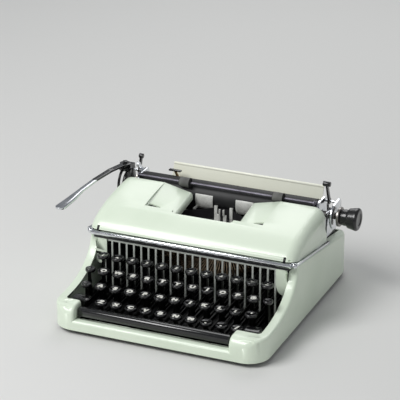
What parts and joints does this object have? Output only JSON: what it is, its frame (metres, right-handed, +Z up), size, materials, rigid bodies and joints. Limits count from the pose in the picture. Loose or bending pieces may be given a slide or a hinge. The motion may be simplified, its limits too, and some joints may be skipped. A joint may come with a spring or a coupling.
{
  "type": "portable typewriter",
  "caption": "Portable manual typewriter with an open type basket, round keytops on levers, a hinged ribbon cover and a travelling carriage with a return lever.",
  "frame": {"origin": "centre of the rectangle of the four foot screws, on the surface that the feet stand on", "axes": "+X to the typist's right along the platen, -Y towards the typist, +Z up"},
  "size_m": [0.3432, 0.3016, 0.142],
  "materials": {
    "enamel": "pale grey-green stoving enamel, satin gloss",
    "bright_trim": "bright chrome plate",
    "frame_paint": "black satin paint",
    "foot_rubber": "matt moulded",
    "steel": "bare steel, oiled",
    "carriage_paint": "dark satin paint",
    "end_plate": "plated sheet steel",
    "table_paint": "pale cream enamel, satin",
    "guide_brass": "plated, worn to a golden tone",
    "key_plastic": "glossy black tops on plated levers",
    "platen_rubber": "ground matt rubber",
    "knob_plastic": "black, knurled rim",
    "bail_rubber": "grey rubber",
    "spool_metal": "pressed sheet, satin",
    "ribbon_fabric": "inked cotton",
    "bell_metal": "nickelled"
  },
  "bodies": {
    "machine_body": {"body_shell": "enamel", "front_rail": "frame_paint", "cover_trim": "bright_trim", "base_frame": "frame_paint", "rubber_feet": "foot_rubber", "frame_screws": "steel", "carriage_rails": "steel", "key_shaft": "steel", "lever_comb": "steel", "spool_cups": "frame_paint", "ribbon": "ribbon_fabric", "type_guide": "steel", "bell": "bell_metal"},
    "cover": {"ribbon_cover": "enamel"},
    "number_row": {"number_row_keys": "key_plastic"},
    "upper_row": {"upper_row_keys": "key_plastic"},
    "lower_row": {"lower_row_keys": "key_plastic"},
    "a_key": {"key_a": "key_plastic"},
    "s_key": {"key_s": "key_plastic"},
    "d_key": {"key_d": "key_plastic"},
    "f_key": {"key_f": "key_plastic"},
    "g_key": {"key_g": "key_plastic"},
    "h_key": {"key_h": "key_plastic"},
    "j_key": {"key_j": "key_plastic"},
    "k_key": {"key_k": "key_plastic"},
    "l_key": {"key_l": "key_plastic"},
    "semicolon_key": {"key_semicolon": "key_plastic"},
    "quote_key": {"key_quote": "key_plastic"},
    "shift": {"shift_left": "key_plastic", "shift_right": "key_plastic"},
    "shift_lock": {"shift_lock_key": "key_plastic"},
    "margin_release": {"margin_release_key": "key_plastic"},
    "backspace": {"backspace_key": "key_plastic"},
    "space": {"spacebar": "key_plastic"},
    "type_basket": {"type_segment": "steel", "typebars": "steel"},
    "struck_bar": {"striking_typebar": "steel"},
    "left_spool": {"spool_left": "spool_metal"},
    "right_spool": {"spool_right": "spool_metal"},
    "vibrator": {"ribbon_vibrator": "steel", "ribbon_span": "ribbon_fabric"},
    "carriage": {"carriage_frame": "carriage_paint", "carriage_end_left": "end_plate", "carriage_end_right": "end_plate", "paper_table": "table_paint"},
    "mainspring": {"mainspring_drum": "steel"},
    "platen_roller": {"platen": "platen_rubber", "platen_shaft": "bright_trim", "platen_knob": "knob_plastic", "line_ratchet": "steel"},
    "feed": {"feed_roller": "platen_rubber"},
    "line_lever": {"return_lever": "bright_trim"},
    "bail": {"paper_bail": "bright_trim"},
    "bail_rolls": {"bail_rollers": "bail_rubber"},
    "release_lever": {"paper_release_lever": "bright_trim"},
    "space_lever": {"line_space_lever": "bright_trim"},
    "free_lever": {"carriage_release_lever": "bright_trim"},
    "guide": {"paper_guide": "guide_brass"},
    "left_stop": {"margin_stop_left": "bright_trim"},
    "right_stop": {"margin_stop_right": "bright_trim"}
  },
  "joints": [
    {"name": "cover_hinge", "type": "hinge", "parent": "machine_body", "child": "cover", "pos_m": [0, -0.0448, 0.09087], "axis": [1, 0, 0], "range_deg": [0, 70]},
    {"name": "number_row_press", "type": "hinge", "parent": "machine_body", "child": "number_row", "pos_m": [0, 0.062, 0.024], "axis": [1, 0, 0], "range_deg": [0, 4.8], "stiffness_Nm_per_rad": 4, "springref_deg": -11.46},
    {"name": "upper_row_press", "type": "hinge", "parent": "machine_body", "child": "upper_row", "pos_m": [0, 0.062, 0.024], "axis": [1, 0, 0], "range_deg": [0, 4.15], "stiffness_Nm_per_rad": 4, "springref_deg": -11.46},
    {"name": "lower_row_press", "type": "hinge", "parent": "machine_body", "child": "lower_row", "pos_m": [0, 0.062, 0.024], "axis": [1, 0, 0], "range_deg": [0, 3.25], "stiffness_Nm_per_rad": 4, "springref_deg": -11.46},
    {"name": "key_a_press", "type": "hinge", "parent": "machine_body", "child": "a_key", "pos_m": [0, 0.062, 0.024], "axis": [1, 0, 0], "range_deg": [0, 3.65], "stiffness_Nm_per_rad": 1, "springref_deg": -11.46},
    {"name": "key_s_press", "type": "hinge", "parent": "machine_body", "child": "s_key", "pos_m": [0, 0.062, 0.024], "axis": [1, 0, 0], "range_deg": [0, 3.65], "stiffness_Nm_per_rad": 1, "springref_deg": -11.46},
    {"name": "key_d_press", "type": "hinge", "parent": "machine_body", "child": "d_key", "pos_m": [0, 0.062, 0.024], "axis": [1, 0, 0], "range_deg": [0, 3.65], "stiffness_Nm_per_rad": 1, "springref_deg": -11.46},
    {"name": "key_f_press", "type": "hinge", "parent": "machine_body", "child": "f_key", "pos_m": [0, 0.062, 0.024], "axis": [1, 0, 0], "range_deg": [0, 3.65], "stiffness_Nm_per_rad": 1, "springref_deg": -11.46},
    {"name": "key_g_press", "type": "hinge", "parent": "machine_body", "child": "g_key", "pos_m": [0, 0.062, 0.024], "axis": [1, 0, 0], "range_deg": [0, 3.65], "stiffness_Nm_per_rad": 1, "springref_deg": -11.46},
    {"name": "key_h_press", "type": "hinge", "parent": "machine_body", "child": "h_key", "pos_m": [0, 0.062, 0.024], "axis": [1, 0, 0], "range_deg": [0, 3.65], "stiffness_Nm_per_rad": 1, "springref_deg": -11.46},
    {"name": "key_j_press", "type": "hinge", "parent": "machine_body", "child": "j_key", "pos_m": [0, 0.062, 0.024], "axis": [1, 0, 0], "range_deg": [0, 3.65], "stiffness_Nm_per_rad": 1, "springref_deg": -11.46},
    {"name": "key_k_press", "type": "hinge", "parent": "machine_body", "child": "k_key", "pos_m": [0, 0.062, 0.024], "axis": [1, 0, 0], "range_deg": [0, 3.65], "stiffness_Nm_per_rad": 1, "springref_deg": -11.46},
    {"name": "key_l_press", "type": "hinge", "parent": "machine_body", "child": "l_key", "pos_m": [0, 0.062, 0.024], "axis": [1, 0, 0], "range_deg": [0, 3.65], "stiffness_Nm_per_rad": 1, "springref_deg": -11.46},
    {"name": "key_semicolon_press", "type": "hinge", "parent": "machine_body", "child": "semicolon_key", "pos_m": [0, 0.062, 0.024], "axis": [1, 0, 0], "range_deg": [0, 3.65], "stiffness_Nm_per_rad": 1, "springref_deg": -11.46},
    {"name": "key_quote_press", "type": "hinge", "parent": "machine_body", "child": "quote_key", "pos_m": [0, 0.062, 0.024], "axis": [1, 0, 0], "range_deg": [0, 3.65], "stiffness_Nm_per_rad": 1, "springref_deg": -11.46},
    {"name": "shift_press", "type": "hinge", "parent": "machine_body", "child": "shift", "pos_m": [0, 0.062, 0.024], "axis": [1, 0, 0], "range_deg": [0, 3.3], "stiffness_Nm_per_rad": 6, "springref_deg": -8.59},
    {"name": "shift_lock_press", "type": "slide", "parent": "shift", "child": "shift_lock", "axis": [0, 0, -1], "range_m": [0, 0.003], "stiffness_N_per_m": 600, "springref_m": -0.002},
    {"name": "margin_release_press", "type": "hinge", "parent": "machine_body", "child": "margin_release", "pos_m": [0, 0.062, 0.024], "axis": [1, 0, 0], "range_deg": [0, 4.15], "stiffness_Nm_per_rad": 1, "springref_deg": -11.46},
    {"name": "backspace_press", "type": "hinge", "parent": "machine_body", "child": "backspace", "pos_m": [0, 0.062, 0.024], "axis": [1, 0, 0], "range_deg": [0, 4.15], "stiffness_Nm_per_rad": 1, "springref_deg": -11.46},
    {"name": "spacebar_press", "type": "hinge", "parent": "machine_body", "child": "space", "pos_m": [0, 0.062, 0.024], "axis": [1, 0, 0], "range_deg": [0, 2.08], "stiffness_Nm_per_rad": 3, "springref_deg": -11.46},
    {"name": "basket_shift", "type": "slide", "parent": "machine_body", "child": "type_basket", "axis": [0, 0, -1], "range_m": [0, 0.0065], "stiffness_N_per_m": 60, "springref_m": -0.03},
    {"name": "typebar_swing", "type": "hinge", "parent": "type_basket", "child": "struck_bar", "pos_m": [0, 0.03153, 0.05072], "axis": [-1, 0, 0], "range_deg": [0, 121]},
    {"name": "left_spool_turn", "type": "hinge", "parent": "machine_body", "child": "left_spool", "pos_m": [-0.088, 0.008, 0.09], "axis": [0, 0, 1], "continuous": true},
    {"name": "right_spool_turn", "type": "hinge", "parent": "machine_body", "child": "right_spool", "pos_m": [0.088, 0.008, 0.09], "axis": [0, 0, 1], "continuous": true},
    {"name": "vibrator_lift", "type": "slide", "parent": "machine_body", "child": "vibrator", "axis": [0, 0, 1], "range_m": [0, 0.008]},
    {"name": "carriage_travel", "type": "slide", "parent": "machine_body", "child": "carriage", "axis": [-1, 0, 0], "range_m": [-0.115, 0.115]},
    {"name": "mainspring_turn", "type": "hinge", "parent": "machine_body", "child": "mainspring", "pos_m": [-0.092, 0.1, 0.034], "axis": [0, 1, 0], "range_deg": [-420, 420]},
    {"name": "platen_turn", "type": "hinge", "parent": "carriage", "child": "platen_roller", "pos_m": [0, 0.077, 0.101], "axis": [1, 0, 0], "continuous": true},
    {"name": "feed_turn", "type": "hinge", "parent": "carriage", "child": "feed", "pos_m": [0, 0.077, 0.0789], "axis": [1, 0, 0], "continuous": true},
    {"name": "return_lever_pull", "type": "hinge", "parent": "carriage", "child": "line_lever", "pos_m": [-0.1401, 0.077, 0.1235], "axis": [0, 0, 1], "range_deg": [0, 35], "stiffness_Nm_per_rad": 0.3, "springref_deg": -17.19},
    {"name": "paper_bail_lift", "type": "hinge", "parent": "carriage", "child": "bail", "pos_m": [0, 0.087, 0.11], "axis": [-1, 0, 0], "range_deg": [0, 55]},
    {"name": "bail_rollers_turn", "type": "hinge", "parent": "bail", "child": "bail_rolls", "pos_m": [0, 0.06253, 0.11952], "axis": [1, 0, 0], "continuous": true},
    {"name": "paper_release_pull", "type": "hinge", "parent": "carriage", "child": "release_lever", "pos_m": [0.12, 0.091, 0.113], "axis": [1, 0, 0], "range_deg": [0, 25]},
    {"name": "line_space_set", "type": "hinge", "parent": "carriage", "child": "space_lever", "pos_m": [-0.12, 0.091, 0.113], "axis": [1, 0, 0], "range_deg": [-10, 10]},
    {"name": "carriage_release_pull", "type": "hinge", "parent": "carriage", "child": "free_lever", "pos_m": [0.12, 0.091, 0.113], "axis": [1, 0, 0], "range_deg": [0, 20], "stiffness_Nm_per_rad": 0.1, "springref_deg": -17.19},
    {"name": "paper_guide_slide", "type": "slide", "parent": "carriage", "child": "guide", "axis": [1, 0, 0], "range_m": [0, 0.06]},
    {"name": "left_stop_slide", "type": "slide", "parent": "carriage", "child": "left_stop", "axis": [1, 0, 0], "range_m": [-0.04, 0.04]},
    {"name": "right_stop_slide", "type": "slide", "parent": "carriage", "child": "right_stop", "axis": [-1, 0, 0], "range_m": [-0.04, 0.04]}
  ],
  "couplings": [
    {"joint": "basket_shift", "follows": "shift_press", "m_per_rad": 0.1125},
    {"joint": "typebar_swing", "follows": "key_g_press", "ratio": 33.1},
    {"joint": "right_spool_turn", "follows": "left_spool_turn", "ratio": 1},
    {"joint": "mainspring_turn", "follows": "carriage_travel", "rad_per_m": 62.5},
    {"joint": "feed_turn", "follows": "platen_turn", "ratio": -3.4}
  ]
}
